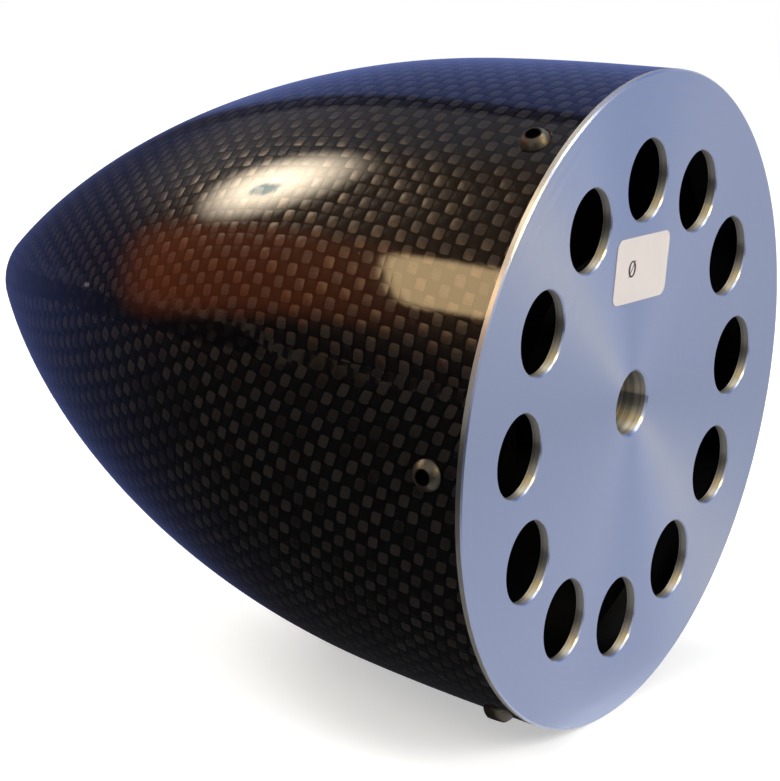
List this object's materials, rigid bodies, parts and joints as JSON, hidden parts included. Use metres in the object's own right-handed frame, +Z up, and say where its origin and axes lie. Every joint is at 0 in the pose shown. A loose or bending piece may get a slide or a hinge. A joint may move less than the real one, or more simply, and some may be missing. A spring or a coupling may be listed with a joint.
{
  "type": "propeller spinner",
  "caption": "Ogive propeller spinner for a large model aircraft: glossy woven-carbon cone screwed to a turned aluminium backplate with lightening holes and a shaft bore.",
  "frame": {"origin": "centre of the shaft bore at the backplate's rear face", "axes": "+Y along the spin axis towards the nose, as fitted on a level aircraft, +Z up through a lightening hole, +X to the right seen from behind"},
  "size_m": [0.1038, 0.1181, 0.102],
  "materials": {
    "carbon_laminate": "gloss clear coat over a 2 mm plain weave of black carbon tows",
    "turned_aluminium": "fine face-turned, bright broken edges",
    "black_steel": "black oxide, lightly oiled",
    "label_paper": "matt off-white paper"
  },
  "bodies": {
    "root": {"spinner_cone": "carbon_laminate", "backplate": "turned_aluminium", "cone_screws": "black_steel", "size_label": "label_paper"}
  },
  "joints": []
}
